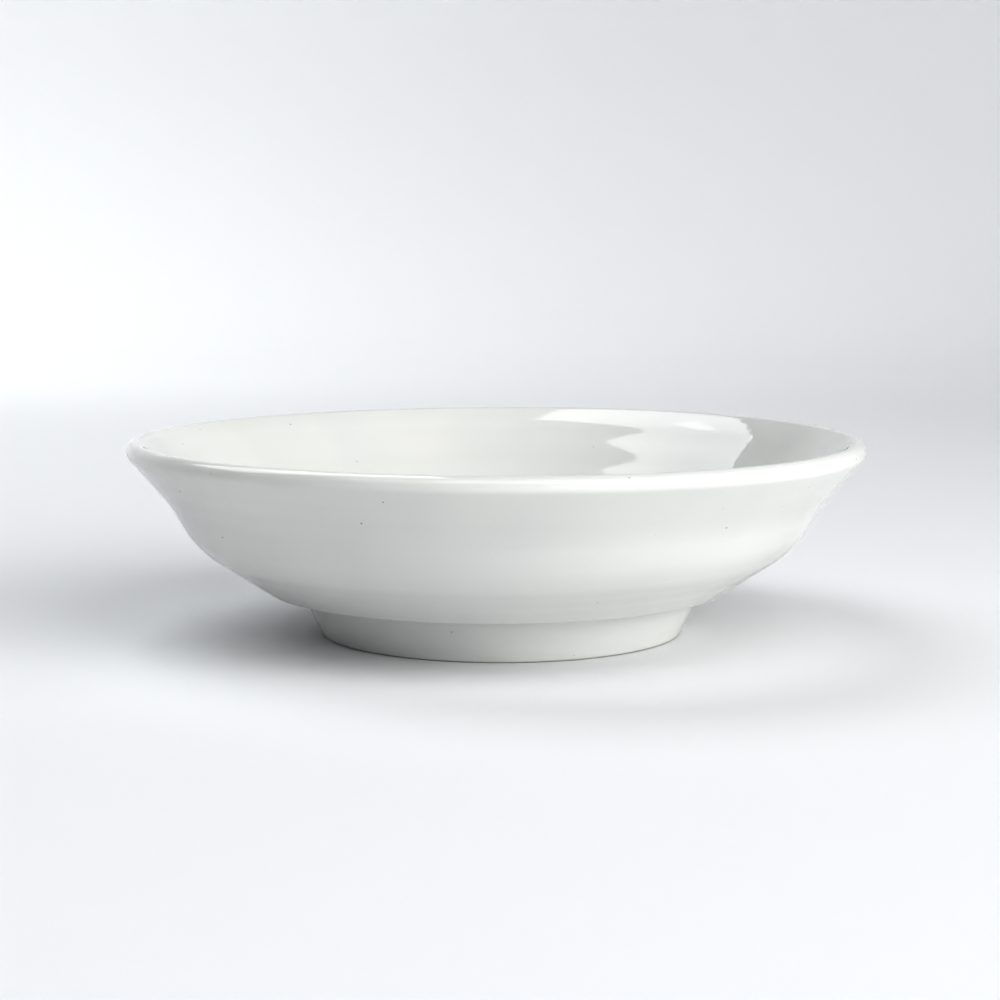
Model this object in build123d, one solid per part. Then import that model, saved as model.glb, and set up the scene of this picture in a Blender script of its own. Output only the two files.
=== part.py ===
"""Sauce dish: a thrown bowl with a rounded lip, on a foot ring that is luted to its base with slip.

Millimetres, +Z up. The origin is on the table, on the axis that the dish was turned about.
Each piece is an outline in the XZ half-plane, turned once about Z. Sizes include the glaze.
"""

from build123d import *
import math
import os

# Overall sizes
RIM_DIAMETER = 100.0
DISH_HEIGHT = 26.7

# Wall of the bowl: thickness at the lip, and corners of the outside, in and down from the rim, with rounds
WALL_THICKNESS = 2.6
NECK_IN = 5.55
NECK_DOWN = 8.3
NECK_RADIUS = 18.0
SHOULDER_IN = 8.9
SHOULDER_DOWN = 14.2
SHOULDER_RADIUS = 14.0

# Base of the bowl: flat and trimmed to a crisp edge underneath, with a round well inside
BASE_DIAMETER = 63.4
FLOOR_THICKNESS = 2.8
WELL_RADIUS = 16.0

# Lip: a full round as wide as the wall is thick, in short straight facets
LIP_FACET_ANGLE = 24.0

# Foot ring: set in under the base, tapered outside, and drafted inside to a narrow bearing face
FOOT_HEIGHT = 6.3
FOOT_LEDGE = 4.2
FOOT_WALL = 5.4
FOOT_TAPER = 2.65
FOOT_DRAFT = 0.5
FOOT_EDGE = 0.4

# Slip that lutes the ring to the base, smoothed into a small fillet inside the ring
SLIP_THICKNESS = 0.4
SLIP_FILLET = 1.0

# Places that follow from the sizes above
LIP_RADIUS = WALL_THICKNESS / 2
RIM_RADIUS = RIM_DIAMETER / 2
RING_TOP = FOOT_HEIGHT - SLIP_THICKNESS
RING_TOP_RADIUS = BASE_DIAMETER / 2 - FOOT_LEDGE
REST_RADIUS = RING_TOP_RADIUS - FOOT_TAPER
BORE_TOP_RADIUS = RING_TOP_RADIUS - FOOT_WALL
BORE_REST_RADIUS = BORE_TOP_RADIUS + FOOT_DRAFT


def point(radius, height):
    """A point of an outline, from its radius and its height above the table."""
    return Vector(radius, 0, height)


def direction(angle):
    """A unit step in an outline's plane, at an angle in degrees up from level."""
    turn = math.radians(angle)
    return Vector(math.cos(turn), 0, math.sin(turn))


def slope(start, end):
    """The angle in degrees, up from level, of the line between two points."""
    return math.degrees(math.atan2(end.Z - start.Z, end.X - start.X))


def turned(*edges):
    """The solid that a closed outline makes in one turn about the axis."""
    return revolve(make_face(Wire.combine(edges)[0]), axis=Axis.Z)


def rounded(corners, radii):
    """A run of straight lines with its corners rounded, each as far as half of its shorter line allows."""
    fitting = []
    for before, corner, after, radius in zip(corners, corners[1:], corners[2:], radii):
        half_turn = math.radians(abs(slope(corner, after) - slope(before, corner)) / 2)
        room = min((corner - before).length, (after - corner).length) / 2
        fitting.append(min(radius, room / math.tan(half_turn)))
    return FilletPolyline(*corners, radius=fitting).edges()


def lip_facets(centre, wall_angle):
    """The lip's round, from the wall's outer face over its widest point and its crest to the inner face."""
    stops = (wall_angle - 90, 0, 90, wall_angle + 90)
    angles = [stops[0]]
    for start, end in zip(stops, stops[1:]):
        facets = max(1, round((end - start) / LIP_FACET_ANGLE))
        angles += [start + (end - start) * (i + 1) / facets for i in range(facets)]
    return Polyline(*[centre + direction(angle) * LIP_RADIUS for angle in angles])


def bowl():
    """The thrown bowl: outside, round shoulder, neck and lip; inside, a straight wall down to the well."""
    base_centre = point(0, FOOT_HEIGHT)
    base_edge = point(BASE_DIAMETER / 2, FOOT_HEIGHT)
    shoulder = point(RIM_RADIUS - SHOULDER_IN, DISH_HEIGHT - SHOULDER_DOWN)
    neck = point(RIM_RADIUS - NECK_IN, DISH_HEIGHT - NECK_DOWN)
    lip_centre = point(RIM_RADIUS - LIP_RADIUS, DISH_HEIGHT - LIP_RADIUS)
    to_lip = lip_centre - neck
    wall_angle = slope(neck, lip_centre) - math.degrees(math.asin(LIP_RADIUS / to_lip.length))
    lip = lip_facets(lip_centre, wall_angle)
    lip_end = lip @ 1
    well_centre = point(0, FOOT_HEIGHT + FLOOR_THICKNESS)
    well_drop = lip_end.Z - well_centre.Z
    well_edge = point(lip_end.X - well_drop / math.tan(math.radians(wall_angle)), well_centre.Z)
    return turned(
        Line(base_centre, base_edge),
        *rounded([base_edge, shoulder, neck, lip @ 0], [SHOULDER_RADIUS, NECK_RADIUS]),
        *lip.edges(),
        *rounded([well_centre, well_edge, lip_end], [WELL_RADIUS]),
        Line(well_centre, base_centre),
    )


def ring_bore():
    """The inner face of the foot ring, from its top down to its bearing edge."""
    return Line(point(BORE_TOP_RADIUS, RING_TOP), point(BORE_REST_RADIUS, FOOT_EDGE))


def foot_ring():
    """The ring that the dish stands on, with a narrow flat bearing face between two bevelled edges."""
    bore = ring_bore()
    outside = Polyline(
        point(BORE_REST_RADIUS + FOOT_EDGE, 0),
        point(REST_RADIUS - FOOT_EDGE, 0),
        point(REST_RADIUS, FOOT_EDGE),
        point(RING_TOP_RADIUS, RING_TOP),
    )
    return turned(bore, Line(bore @ 1, outside @ 0), *outside.edges(), Line(outside @ 1, bore @ 0))


def slip_joint():
    """The thin layer of slip between the ring and the base, with its fillet against the ring's bore."""
    bore = ring_bore()
    outline = Polyline(
        point(RING_TOP_RADIUS, RING_TOP),
        point(RING_TOP_RADIUS, FOOT_HEIGHT),
        point(BORE_TOP_RADIUS - SLIP_FILLET, FOOT_HEIGHT),
        bore.position_at(SLIP_FILLET, position_mode=PositionMode.LENGTH),
        bore @ 0,
        close=True,
    )
    return turned(*outline.edges())


PIECES = {"bowl": bowl, "foot_ring": foot_ring, "slip_joint": slip_joint}

os.makedirs("parts", exist_ok=True)
for name, make in PIECES.items():
    export_step(make(), f"parts/{name}.step")
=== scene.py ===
"""Looks of the sauce dish: the bowl, its foot ring and the slip between them, in white glaze over clay.

Outlines are in millimetres, as (radius, height) points in the frame of the solids, and each piece is an
outline turned about Z. The bowl also has the small unevenness of hand-thrown ware. Lights and camera are
placed in metres.
"""

import math

import bpy
import numpy as np
from mathutils import Matrix, Vector


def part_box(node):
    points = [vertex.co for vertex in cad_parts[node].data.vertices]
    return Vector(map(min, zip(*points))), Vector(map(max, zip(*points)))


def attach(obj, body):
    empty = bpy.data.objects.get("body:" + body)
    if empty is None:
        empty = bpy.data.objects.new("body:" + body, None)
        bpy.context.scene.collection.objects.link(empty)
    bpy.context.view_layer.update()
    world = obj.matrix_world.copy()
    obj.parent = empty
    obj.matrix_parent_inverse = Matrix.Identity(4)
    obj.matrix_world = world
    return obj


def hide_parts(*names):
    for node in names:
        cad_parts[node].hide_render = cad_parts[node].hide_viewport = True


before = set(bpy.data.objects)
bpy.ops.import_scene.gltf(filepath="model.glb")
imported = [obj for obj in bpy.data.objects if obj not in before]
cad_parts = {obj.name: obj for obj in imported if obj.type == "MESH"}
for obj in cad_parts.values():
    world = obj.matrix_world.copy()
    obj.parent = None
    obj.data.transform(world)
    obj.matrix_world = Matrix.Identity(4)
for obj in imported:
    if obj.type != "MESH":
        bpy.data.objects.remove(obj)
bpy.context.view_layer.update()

MM = 0.001
FULL_TURN = 2 * math.pi
QUARTER_TURN = math.pi / 2

# Sizes that the solids' boxes give
BOWL_LOW, BOWL_HIGH = (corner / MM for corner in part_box("bowl"))
RING_LOW, RING_HIGH = (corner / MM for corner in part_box("foot_ring"))
SLIP_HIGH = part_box("slip_joint")[1] / MM
RIM_RADIUS = BOWL_HIGH.x
RIM_HEIGHT = BOWL_HIGH.z
BASE_HEIGHT = BOWL_LOW.z
RING_REST = RING_LOW.z
RING_TOP = RING_HIGH.z
RING_TOP_RADIUS = RING_HIGH.x
SLIP_TOP = SLIP_HIGH.z

# Wall of the bowl: corners of its outside, in and down from the rim, with their rounds
WALL = 2.6
NECK_IN, NECK_DOWN, NECK_ROUND = 5.55, 8.3, 18.0
SHOULDER_IN, SHOULDER_DOWN, SHOULDER_ROUND = 8.9, 14.2, 14.0
BASE_RADIUS, BASE_EDGE_ROUND = 31.7, 0.45

# Inside of the bowl: floor and round of the well, and the slight flare below the lip
WELL_FLOOR, WELL_ROUND = 2.8, 16.0
FLARE_ANGLE, FLARE_LENGTH, FLARE_ROUND = math.radians(13.0), 2.0, 14.0

# Foot ring: taper down to its bearing face, bore, rounds of its edges, and its place off the rim's centre
REST_IN = 2.84
RING_WALL, BORE_DRAFT = 5.4, 0.5
RING_EDGE, RING_TOP_EDGE = 0.4, 0.02
FOOT_OFF_CENTRE = 0.6
BORE_TOP_RADIUS = RING_TOP_RADIUS - RING_WALL

# Slip between the ring and the base, wiped to a fillet on both sides, hollow by a share of its width
SLIP_FILLET_OUT, SLIP_FILLET_IN = 0.5, 1.0
SLIP_HOLLOW = 0.2

# Mesh density: steps round the axis, longest steps along an outline, and steps in its rounds
TURN_STEPS = 512
WALL_STEP, WELL_STEP, FLAT_STEP = 0.35, 0.70, 1.2
LIP_STEPS, SLIP_STEPS, LEAST_ROUND_STEPS = 24, 8, 4

# Slight oval, three-sided form and sag of the rim: how far, and the turn about the axis
OVAL, OVAL_TURN = 0.12, math.pi
TRIANGLE, TRIANGLE_TURN = 0.06, 0.0
RIM_SAG, RIM_SAG_TURN = 0.16, 1.3

# Throwing rings inside: how they climb, and where they come in below the lip and end before the centre
RING_PITCH_IN, RING_DEPTH_IN = 5.35, 0.030
RING_START_IN, RING_TURN_IN = 3.6, math.radians(65)
RING_FADE_LIP, RING_FADE_CENTRE = (1.0, 4.0), (9.0, 3.0)

# Throwing rings outside: the same, with a swell in their depth
RING_PITCH_OUT, RING_DEPTH_OUT, RING_FADE_OUT = 3.1, 0.008, 4.0
RING_SWELL, RING_SWELL_LENGTH = 0.3, 4.1

# Specks: the share of a radius that has full colour, and how sharply the cells that have one are picked
SPECK_CORE = 0.5
SPECK_PICK = 0.01

# White glaze: cool and warm clouds, deeper colour where it pools, iron specks, lint and pinholes.
# A kind of speck is given as the cell that holds one, its radius, and the share of cells that have one.
GLAZE_COOL = (0.700, 0.710, 0.697, 1)
GLAZE_WARM = (0.738, 0.740, 0.720, 1)
GLAZE_DEEP = (0.655, 0.680, 0.658, 1)
GLAZE_CLOUD, GLAZE_CLOUD_RANGE = 22.0, (0.3, 0.7)
POOL_TINT = 0.10
IRON_SPECKS, IRON_STRENGTH = (2.6, 0.16, 0.30), 0.85
IRON_COLOUR = (0.11, 0.095, 0.08, 1)
LINT_SPECKS, LINT_STRENGTH = (3.2, 0.13, 0.22), 0.6
LINT_STRETCH, LINT_TURN = (0.3, 1.0, 1.0), (0.3, 0.5, 0.9)
LINT_COLOUR = (0.25, 0.24, 0.23, 1)
PINHOLES, PINHOLE_DEPTH = (4.0, 0.25, 0.35), 1.5
PEEL_SIZE = 1.3
SHEEN_SIZE, SHEEN_DETAIL, SHEEN_RANGE = 9.0, 4.0, (0.25, 0.75)
GLAZE_ROUGHNESS = (0.03, 0.07)

# Glass index and depth of the fine relief, the same on glaze, clay and slip
GLASS_INDEX = 1.6
RELIEF_DEPTH = 0.012

# Bare clay of the bearing face, and the glaze's uneven edge above it
CLAY_DARK = (0.41, 0.40, 0.38, 1)
CLAY_PALE = (0.55, 0.54, 0.52, 1)
CLAY_GRAIN, CLAY_DETAIL = 0.35, 4.0
GROG_SPECKS, GROG_STRENGTH = (0.9, 0.16, 0.4), 0.6
GROG_COLOUR = (0.21, 0.20, 0.19, 1)
GRAIN_RANGE = (0.2, 0.8)
CLAY_ROUGHNESS = (0.75, 0.92)
GLAZE_EDGE, GLAZE_EDGE_SOFT = 0.16, 0.08
GLAZE_EDGE_WAVE, GLAZE_EDGE_WOBBLE = 5.0, 0.15

# Brushed slip
SLIP_DARK = (0.60, 0.58, 0.53, 1)
SLIP_PALE = (0.70, 0.69, 0.65, 1)
SLIP_ROUGHNESS = (0.25, 0.40)
BRUSH_STRETCH, BRUSH_SIZE, BRUSH_DETAIL = (1.0, 1.0, 6.0), 2.0, 3.0

# Floor: a flat disc that sweeps up to a wall all round, nearest behind the dish
FLOOR_BACK = 600.0
FLOOR_FLAT, FLOOR_SWEEP, FLOOR_TOP = 1100.0, 350.0, 900.0
FLOOR_TURN_STEPS, SWEEP_STEPS = 128, 24
FLOOR_DARK = (0.810, 0.819, 0.830, 1)
FLOOR_PALE = (0.825, 0.834, 0.844, 1)
FLOOR_CLOUD = 180.0
FLOOR_ROUGHNESS = 0.9

# Soft lights: place, the point that each faces, width, height, power, colour and spread.
# The keys stand at the right and the fills in front. The far wall mirrors the panel and the lamp.
# The narrow ones light only the floor and the backdrop.
DISH = (0, 0, 0)
WARM, COOL, PLAIN = (1.0, 0.995, 0.98), (0.98, 0.99, 1.0), (1.0, 1.0, 1.0)
WIDE, NARROW, CLOSE = math.radians(180), math.radians(105), math.radians(78)
LIGHTS = {
    "key_low": ((0.513, -0.496, 0.232), DISH, 0.40, 0.40, 3.0, WARM, WIDE),
    "key_high": ((0.598, -0.254, 0.375), DISH, 0.45, 0.40, 1.75, WARM, WIDE),
    "front_right": ((0.071, -0.402, 0.629), DISH, 0.50, 0.28, 0.72, COOL, WIDE),
    "front_left": ((-0.265, -0.378, 0.591), DISH, 0.45, 0.40, 0.60, PLAIN, WIDE),
    "high": ((0.323, -0.384, 0.557), DISH, 0.45, 0.35, 1.25, COOL, WIDE),
    "panel": ((-0.390, 0.244, 0.550), (-0.390, 0.244, 0), 0.66, 0.454, 2.8, COOL, WIDE),
    "lamp": ((-0.292, 0.254, 0.548), (-0.292, 0.254, 0), 0.115, 0.105, 0.055, PLAIN, WIDE),
    "far_floor": ((-0.120, 0.580, 0.560), (-0.120, 0.580, 0), 0.80, 0.20, 0.26, PLAIN, CLOSE),
    "backdrop_front": ((0.400, -0.700, 0.500), (1.000, -1.800, 0.250), 0.80, 0.40, 4.0, PLAIN, NARROW),
    "backdrop_left": ((-0.260, 0.300, 0.450), (-0.260, 1.200, 0.050), 0.40, 0.40, 0.46, PLAIN, NARROW),
    "backdrop_right": ((0.420, 0.300, 0.450), (0.420, 1.200, 0.050), 0.40, 0.40, 0.35, PLAIN, NARROW),
}

# Contrast of the picture, and how often light is followed from surface to surface
VIEW_GAMMA = 0.75
BOUNCES, DIFFUSE_BOUNCES, GLOSSY_BOUNCES = 6, 5, 3

# Camera, found from the rim and the foot in the photograph
CAMERA_SIDE, CAMERA_BACK, CAMERA_UP = 0.0005, 0.300, 0.0550
CAMERA_PITCH = math.radians(7.06)
CAMERA_LENS, CAMERA_SENSOR = 79.35, 36.0
CAMERA_NEAREST = 0.01

# Sockets of a Mix node that are for colours
MIX_SHARE, MIX_FIRST, MIX_SECOND, MIX_RESULT = 0, 6, 7, 2


def heading(start, end):
    """The angle, up from level, of the line between two points of an outline."""
    return math.atan2(end[1] - start[1], end[0] - start[0])


def toward(angle):
    """A unit step in an outline's plane, at an angle up from level."""
    return np.array((math.cos(angle), math.sin(angle)))


def along(start, end, step):
    """Points on a line, without its first one, at most a step apart."""
    start, end = np.array(start, float), np.array(end, float)
    count = max(1, math.ceil(np.linalg.norm(end - start) / step))
    return [start + (end - start) * i / count for i in range(1, count + 1)]


def rounded(corners, radii, steps):
    """A run of lines with its inner corners rounded, as points. Each line has its own longest step."""
    corners = [np.array(corner, float) for corner in corners]
    points = corners[:1]
    for before, corner, after, radius, step in zip(corners, corners[1:], corners[2:], radii, steps):
        way_in = heading(before, corner)
        turn = (heading(corner, after) - way_in + math.pi) % FULL_TURN - math.pi
        start = corner - toward(way_in) * radius * math.tan(abs(turn) / 2)
        spoke = way_in - math.copysign(QUARTER_TURN, turn)
        centre = start - toward(spoke) * radius
        count = max(LEAST_ROUND_STEPS, math.ceil(radius * abs(turn) / WALL_STEP))
        points += along(points[-1], start, step)
        points += [centre + toward(spoke + turn * k / count) * radius for k in range(1, count + 1)]
    return points + along(points[-1], corners[-1], steps[-1])


def hollow(start, end):
    """Points on a hollow arc between two points, without the first one."""
    start, end = np.array(start, float), np.array(end, float)
    depth = np.array((start[1] - end[1], end[0] - start[0])) * SLIP_HOLLOW
    shares = np.arange(1, SLIP_STEPS + 1) / SLIP_STEPS
    return [start + (end - start) * share + depth * 4 * share * (1 - share) for share in shares]


def bowl_outline():
    """Outside, lip and inside of the bowl as lists of points, from under the base to the well's floor."""
    lip_radius = WALL / 2
    lip = np.array((RIM_RADIUS - lip_radius, RIM_HEIGHT - lip_radius))
    base = (BASE_RADIUS, BASE_HEIGHT)
    shoulder = (RIM_RADIUS - SHOULDER_IN, RIM_HEIGHT - SHOULDER_DOWN)
    neck = (RIM_RADIUS - NECK_IN, RIM_HEIGHT - NECK_DOWN)
    wall = heading(neck, lip) - math.asin(lip_radius / math.dist(neck, lip))
    flare = wall - FLARE_ANGLE
    outer = lip + toward(wall - QUARTER_TURN) * lip_radius
    inner = lip + toward(flare + QUARTER_TURN) * lip_radius
    bend = inner - toward(flare) * FLARE_LENGTH
    well = BASE_HEIGHT + WELL_FLOOR
    well_edge = (bend[0] - (bend[1] - well) / math.tan(wall), well)
    outside = rounded(
        [(0.0, BASE_HEIGHT), base, shoulder, neck, outer],
        [BASE_EDGE_ROUND, SHOULDER_ROUND, NECK_ROUND],
        [FLAT_STEP, WALL_STEP, WALL_STEP, WALL_STEP],
    )
    inside = rounded(
        [inner, bend, well_edge, (0.0, well)],
        [FLARE_ROUND, WELL_ROUND],
        [WALL_STEP, WALL_STEP, WELL_STEP],
    )
    lip_angles = np.linspace(wall - QUARTER_TURN, flare + QUARTER_TURN, LIP_STEPS + 1)[1:-1]
    crest = [lip + toward(angle) * lip_radius for angle in lip_angles]
    return outside, crest, inside


def ring_outline():
    """The foot ring, once round, from the top of its bore down to the table and up the outside."""
    corners = [
        (BORE_TOP_RADIUS, RING_TOP),
        (BORE_TOP_RADIUS + BORE_DRAFT, RING_REST),
        (RING_TOP_RADIUS - REST_IN, RING_REST),
        (RING_TOP_RADIUS, RING_TOP),
        (BORE_TOP_RADIUS, RING_TOP),
    ]
    return rounded(corners, [RING_EDGE, RING_EDGE, RING_TOP_EDGE], [WALL_STEP] * 4)


def slip_outline():
    """The slip, once round: hollow fillets inside and outside the ring, flat against ring and base."""
    bore_slope = BORE_DRAFT / RING_TOP
    low_in = (BORE_TOP_RADIUS + SLIP_FILLET_IN * bore_slope, RING_TOP - SLIP_FILLET_IN)
    points = [np.array((BORE_TOP_RADIUS - SLIP_FILLET_IN, SLIP_TOP))]
    points += hollow(points[-1], low_in)
    points += along(points[-1], (BORE_TOP_RADIUS, RING_TOP), WALL_STEP)
    points += along(points[-1], (RING_TOP_RADIUS, RING_TOP), WALL_STEP)
    points += hollow(points[-1], (RING_TOP_RADIUS + SLIP_FILLET_OUT, SLIP_TOP))
    points += along(points[-1], points[0], WALL_STEP)
    return points


def measured(points):
    """An outline's points, its normals to the right of its run, and the distance along it."""
    points = np.array(points)
    runs = np.gradient(points, axis=0)
    runs /= np.linalg.norm(runs, axis=1)[:, None]
    normals = np.stack((runs[:, 1], -runs[:, 0]), 1)
    lengths = np.linalg.norm(np.diff(points, axis=0), axis=1)
    return points, normals, np.concatenate(([0.0], np.cumsum(lengths)))


def fade(value, start, end):
    """A smooth step from 0 at start to 1 at end."""
    share = np.clip((value - start) / (end - start), 0.0, 1.0)
    return share * share * (3 - 2 * share)


def around(steps):
    """Even angles, once round the axis."""
    return np.arange(steps) * FULL_TURN / steps


def turned(name, radius, height, tips=()):
    """A smooth mesh from rows of points round the axis, in mm.

    Without tips the last row joins the first. A tip is the height of a point on the axis: the first one
    closes the first row, and the second one the last row.
    """
    rows, steps = radius.shape
    angles = around(steps)
    places = np.stack((radius * np.cos(angles), radius * np.sin(angles), height), 2) * MM
    vertices = places.reshape(-1, 3).tolist()
    grid = np.arange(rows * steps).reshape(rows, steps)
    lower = grid[:-1] if tips else grid
    upper = grid[1:] if tips else np.roll(grid, -1, 0)
    corners = (lower, np.roll(lower, -1, 1), np.roll(upper, -1, 1), upper)
    faces = np.stack(corners, 2).reshape(-1, 4).tolist()
    for tip, row, flip in zip(tips, (grid[0], grid[-1]), (True, False)):
        centre = len(vertices)
        vertices.append((0.0, 0.0, tip * MM))
        pairs = zip(row.tolist(), np.roll(row, -1).tolist())
        faces += [(centre, b, a) if flip else (centre, a, b) for a, b in pairs]
    mesh = bpy.data.meshes.new(name)
    mesh.from_pydata(vertices, [], faces)
    mesh.validate()
    mesh.shade_smooth()
    piece = bpy.data.objects.new(name, mesh)
    bpy.context.scene.collection.objects.link(piece)
    return piece


def paint(piece, name, values):
    """Keeps one value for each point of a piece, for its material to read."""
    layer = piece.data.attributes.new(name, "FLOAT", "POINT")
    layer.data.foreach_set("value", np.asarray(values, np.float32))


def unevenness(radius, height, turn):
    """Radius and height after the slight oval and sag that the wall took as it dried, most at the rim."""
    share = fade(height, BASE_HEIGHT, RIM_HEIGHT)
    oval = OVAL * (1 + np.cos(2 * turn + OVAL_TURN)) / 2
    triangle = TRIANGLE * (1 + np.cos(3 * turn + TRIANGLE_TURN)) / 2
    sag = RIM_SAG * (1 + np.cos(2 * turn + RIM_SAG_TURN)) / 2
    return radius - share * (oval + triangle) * radius / RIM_RADIUS, height - share * sag


def rings_outside(at, turn, start, end):
    """Throwing rings outside, from -1 to 1, by the distance along the outline and the turn about Z."""
    share = fade(at, start, start + RING_FADE_OUT) * (1 - fade(at, end - RING_FADE_OUT, end))
    swell = 1 - RING_SWELL + RING_SWELL * np.sin(at / RING_SWELL_LENGTH + 2 * turn)
    return share * swell * np.sin(FULL_TURN * (at - start) / RING_PITCH_OUT - turn)


def rings_inside(at, turn, start, end):
    """Throwing rings inside, in the same way. They climb as a spiral from the well to the lip."""
    below_lip = fade(at, *(start + distance for distance in RING_FADE_LIP))
    at_centre = fade(at, *(end - distance for distance in RING_FADE_CENTRE))
    climb = FULL_TURN * (at - start - RING_START_IN) / RING_PITCH_IN + turn - RING_TURN_IN
    return -below_lip * (1 - at_centre) * np.sin(climb)


def make_bowl():
    """The bowl, with its throwing rings inside and out.

    The outline starts on the axis under the base, so its distance at the base's edge is the base's radius.
    """
    outside, crest, inside = bowl_outline()
    points, normals, length = measured(outside + crest + inside)
    turn = around(TURN_STEPS)[None, :]
    at = length[:, None]
    rings_out = rings_outside(at, turn, BASE_RADIUS, length[len(outside) - 1])
    rings_in = rings_inside(at, turn, length[len(outside) + len(crest)], length[-1])
    relief = RING_DEPTH_OUT * rings_out + RING_DEPTH_IN * rings_in
    radius = points[:, :1] + normals[:, :1] * relief
    height = points[:, 1:] + normals[:, 1:] * relief
    radius, height = unevenness(radius, height, turn)
    tips = (points[0, 1], points[-1, 1])
    bowl = turned("glazed_bowl", radius[1:-1], height[1:-1], tips)
    pool = -(rings_out + rings_in)[1:-1]
    paint(bowl, "pool", np.concatenate((pool.ravel(), np.zeros(len(tips)))))
    return bowl


def make_round(name, outline):
    """A closed ring from an outline, as far off the rim's centre as the potter set the foot."""
    points = np.array(outline[:-1])
    ones = np.ones((1, TURN_STEPS))
    ring = turned(name, points[:, :1] * ones, points[:, 1:] * ones)
    ring.data.transform(Matrix.Translation((FOOT_OFF_CENTRE * MM, 0, 0)))
    return ring


def new_material(name):
    """A new material: itself, its node tree and its Principled shader."""
    material = bpy.data.materials.new(name)
    material.use_nodes = True
    return material, material.node_tree, material.node_tree.nodes["Principled BSDF"]


def join(tree, socket, value):
    """Links an output to a socket, or sets a plain value on it."""
    if isinstance(value, bpy.types.NodeSocket):
        tree.links.new(value, socket)
    else:
        socket.default_value = value


def node(tree, kind, inputs, **settings):
    """A new shader node, with its settings, and its inputs by name or number."""
    made = tree.nodes.new("ShaderNode" + kind)
    for name, value in settings.items():
        setattr(made, name, value)
    for name, value in inputs.items():
        join(tree, made.inputs[name], value)
    return made


def millimetres(tree, stretch=(1, 1, 1), turn=(0, 0, 0)):
    """The piece's own coordinates in millimetres, for textures at real size."""
    place = node(tree, "TexCoord", {}).outputs["Object"]
    scale = [part / MM for part in stretch]
    return node(tree, "Mapping", {"Vector": place, "Rotation": turn, "Scale": scale}).outputs["Vector"]


def noise(tree, place, size, detail=2.0):
    """Cloudy noise from 0 to 1, with features of about that size in mm."""
    return node(tree, "TexNoise", {"Vector": place, "Scale": 1 / size, "Detail": detail}).outputs["Fac"]


def ranged(tree, value, low, high, start=0.0, end=1.0):
    """A value eased from start at low to end at high."""
    inputs = {"Value": value, "From Min": low, "From Max": high, "To Min": start, "To Max": end}
    return node(tree, "MapRange", inputs, interpolation_type="SMOOTHSTEP").outputs["Result"]


def mixed(tree, share, first, second):
    """Two colours, or two values, mixed by a share."""
    inputs = {MIX_SHARE: share, MIX_FIRST: first, MIX_SECOND: second}
    return node(tree, "Mix", inputs, data_type="RGBA").outputs[MIX_RESULT]


def times(tree, first, second):
    """The product of two values."""
    return node(tree, "Math", {0: first, 1: second}, operation="MULTIPLY").outputs[0]


def minus(tree, first, second):
    """The difference of two values."""
    return node(tree, "Math", {0: first, 1: second}, operation="SUBTRACT").outputs[0]


def specks(tree, place, cell, radius, share):
    """1 in small round specks: about that share of the cells, each of that size in mm, holds one."""
    cells = node(tree, "TexVoronoi", {"Vector": place, "Scale": 1 / cell})
    dots = ranged(tree, cells.outputs["Distance"], SPECK_CORE * radius / cell, radius / cell, 1.0, 0.0)
    pick = node(tree, "SeparateColor", {"Color": cells.outputs["Color"]}).outputs["Red"]
    return times(tree, dots, ranged(tree, pick, 1 - share, 1 - share + SPECK_PICK))


def glaze_look(tree):
    """Colour, roughness and height of the white glaze.

    It is cloudy and pools in the rings, with iron specks, lint and pinholes.
    """
    place = millimetres(tree)
    cloud = noise(tree, place, GLAZE_CLOUD)
    colour = mixed(tree, ranged(tree, cloud, *GLAZE_CLOUD_RANGE), GLAZE_COOL, GLAZE_WARM)
    pool = node(tree, "Attribute", {}, attribute_name="pool").outputs["Fac"]
    colour = mixed(tree, ranged(tree, pool, 0.0, 1.0, 0.0, POOL_TINT), colour, GLAZE_DEEP)
    iron = specks(tree, place, *IRON_SPECKS)
    colour = mixed(tree, times(tree, iron, IRON_STRENGTH), colour, IRON_COLOUR)
    lint = specks(tree, millimetres(tree, LINT_STRETCH, LINT_TURN), *LINT_SPECKS)
    colour = mixed(tree, times(tree, lint, LINT_STRENGTH), colour, LINT_COLOUR)
    pits = specks(tree, place, *PINHOLES)
    height = minus(tree, noise(tree, place, PEEL_SIZE), times(tree, pits, PINHOLE_DEPTH))
    sheen = noise(tree, place, SHEEN_SIZE, SHEEN_DETAIL)
    return colour, ranged(tree, sheen, *SHEEN_RANGE, *GLAZE_ROUGHNESS), height


def clay_look(tree):
    """Colour, roughness and height of bare fired clay: sandy, with darker grains."""
    place = millimetres(tree)
    sand = noise(tree, place, CLAY_GRAIN, CLAY_DETAIL)
    colour = mixed(tree, sand, CLAY_DARK, CLAY_PALE)
    grog = specks(tree, place, *GROG_SPECKS)
    colour = mixed(tree, times(tree, grog, GROG_STRENGTH), colour, GROG_COLOUR)
    return colour, ranged(tree, sand, *GRAIN_RANGE, *CLAY_ROUGHNESS), sand


def finish_material(tree, shader, colour, roughness, height):
    """Links a look to the shader, with its fine relief."""
    shader.inputs["IOR"].default_value = GLASS_INDEX
    join(tree, shader.inputs["Base Color"], colour)
    join(tree, shader.inputs["Roughness"], roughness)
    bump = node(tree, "Bump", {"Height": height, "Distance": RELIEF_DEPTH * MM})
    join(tree, shader.inputs["Normal"], bump.outputs["Normal"])


def glaze_material():
    """White gloss glaze, all over."""
    material, tree, shader = new_material("white_glaze")
    finish_material(tree, shader, *glaze_look(tree))
    return material


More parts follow.
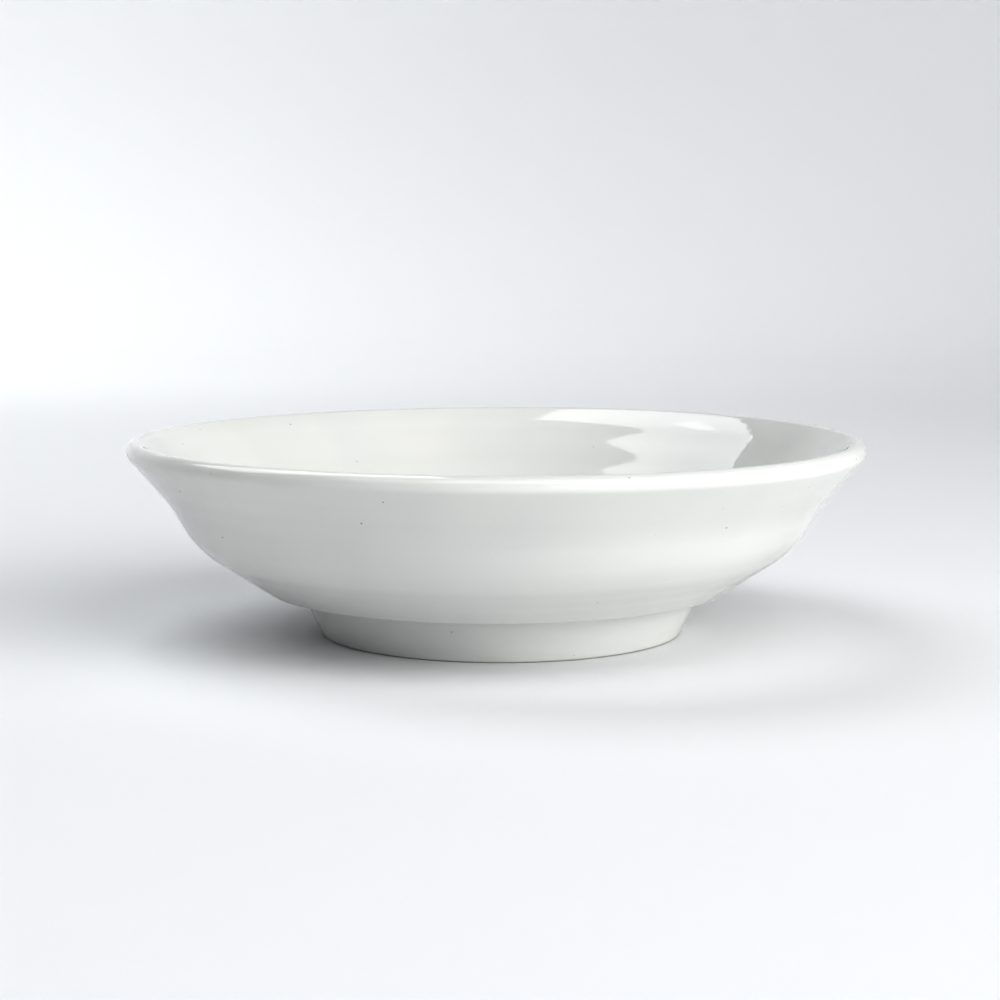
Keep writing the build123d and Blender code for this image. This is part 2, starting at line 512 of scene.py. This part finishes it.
def foot_material():
    """White glaze down to an uneven edge just above the table, and the bare clay of the bearing face."""
    material, tree, shader = new_material("glaze_over_bare_foot")
    place = millimetres(tree)
    height = node(tree, "SeparateXYZ", {"Vector": place}).outputs["Z"]
    wave = times(tree, noise(tree, place, GLAZE_EDGE_WAVE), GLAZE_EDGE_WOBBLE)
    above_edge = minus(tree, height, wave)
    bare = ranged(tree, above_edge, GLAZE_EDGE - GLAZE_EDGE_SOFT, GLAZE_EDGE, 1.0, 0.0)
    looks = zip(glaze_look(tree), clay_look(tree))
    finish_material(tree, shader, *(mixed(tree, bare, glaze, clay) for glaze, clay in looks))
    return material


def slip_material():
    """Slip under a thin coat of glaze, with the marks of the wet brush that smoothed it."""
    material, tree, shader = new_material("brushed_slip")
    strokes = noise(tree, millimetres(tree, BRUSH_STRETCH), BRUSH_SIZE, BRUSH_DETAIL)
    colour = mixed(tree, strokes, SLIP_DARK, SLIP_PALE)
    roughness = ranged(tree, strokes, *GRAIN_RANGE, *SLIP_ROUGHNESS)
    finish_material(tree, shader, colour, roughness, strokes)
    return material


def floor_material():
    """Plain pale matt paper."""
    material, tree, shader = new_material("pale_floor")
    cloud = noise(tree, millimetres(tree), FLOOR_CLOUD)
    join(tree, shader.inputs["Base Color"], mixed(tree, cloud, FLOOR_DARK, FLOOR_PALE))
    shader.inputs["Roughness"].default_value = FLOOR_ROUGHNESS
    return material


def dress(piece, material, solid):
    """Gives a piece its material, puts it under the root body, and hides the solid that it stands in for.
    """
    piece.data.materials.append(material)
    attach(piece, "root")
    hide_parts(solid)


def make_floor():
    """A plain pale floor that sweeps up all round, far outside the dish."""
    sweep = np.linspace(0, QUARTER_TURN, SWEEP_STEPS)
    wall_radius = FLOOR_FLAT + FLOOR_SWEEP
    radius = np.concatenate(([FLOOR_FLAT / 2], FLOOR_FLAT + FLOOR_SWEEP * np.sin(sweep), [wall_radius]))
    height = np.concatenate(([0.0], FLOOR_SWEEP * (1 - np.cos(sweep)), [FLOOR_TOP]))
    ones = np.ones((1, FLOOR_TURN_STEPS))
    floor = turned("floor", radius[:, None] * ones, height[:, None] * ones, tips=(0.0,))
    floor.location.y = (FLOOR_BACK - FLOOR_FLAT) * MM
    floor.data.materials.append(floor_material())


def make_camera():
    """The photograph's viewpoint."""
    data = bpy.data.cameras.new("camera")
    data.sensor_width = CAMERA_SENSOR
    data.lens = CAMERA_LENS
    data.clip_start = CAMERA_NEAREST
    camera = bpy.data.objects.new("camera", data)
    camera.location = (CAMERA_SIDE, -CAMERA_BACK, CAMERA_UP)
    camera.rotation_euler = (QUARTER_TURN - CAMERA_PITCH, 0, 0)
    bpy.context.scene.collection.objects.link(camera)
    bpy.context.scene.camera = camera


def add_light(name, place, aim, width, height, power, colour, spread):
    """A soft rectangular light at a place, facing a point."""
    data = bpy.data.lights.new(name, "AREA")
    data.shape = "RECTANGLE"
    data.size = width
    data.size_y = height
    data.energy = power
    data.color = colour
    data.spread = spread
    light = bpy.data.objects.new(name, data)
    light.location = place
    light.rotation_euler = (Vector(aim) - Vector(place)).to_track_quat("-Z", "Y").to_euler()
    bpy.context.scene.collection.objects.link(light)


def make_studio():
    """The soft lights, in a world that is dark apart from them."""
    for name, light in LIGHTS.items():
        add_light(name, *light)
    world = bpy.data.worlds.new("studio")
    world.use_nodes = True
    world.node_tree.nodes["Background"].inputs["Strength"].default_value = 0.0
    bpy.context.scene.world = world


def set_view():
    """Plain colours at the photograph's contrast, and enough bounces to light the inside of the bowl."""
    scene = bpy.context.scene
    scene.view_settings.view_transform = "Standard"
    scene.view_settings.gamma = VIEW_GAMMA
    scene.cycles.max_bounces = BOUNCES
    scene.cycles.diffuse_bounces = DIFFUSE_BOUNCES
    scene.cycles.glossy_bounces = GLOSSY_BOUNCES


dress(make_bowl(), glaze_material(), "bowl")
dress(make_round("glazed_foot", ring_outline()), foot_material(), "foot_ring")
dress(make_round("slip_fillet", slip_outline()), slip_material(), "slip_joint")
make_floor()
make_camera()
make_studio()
set_view()
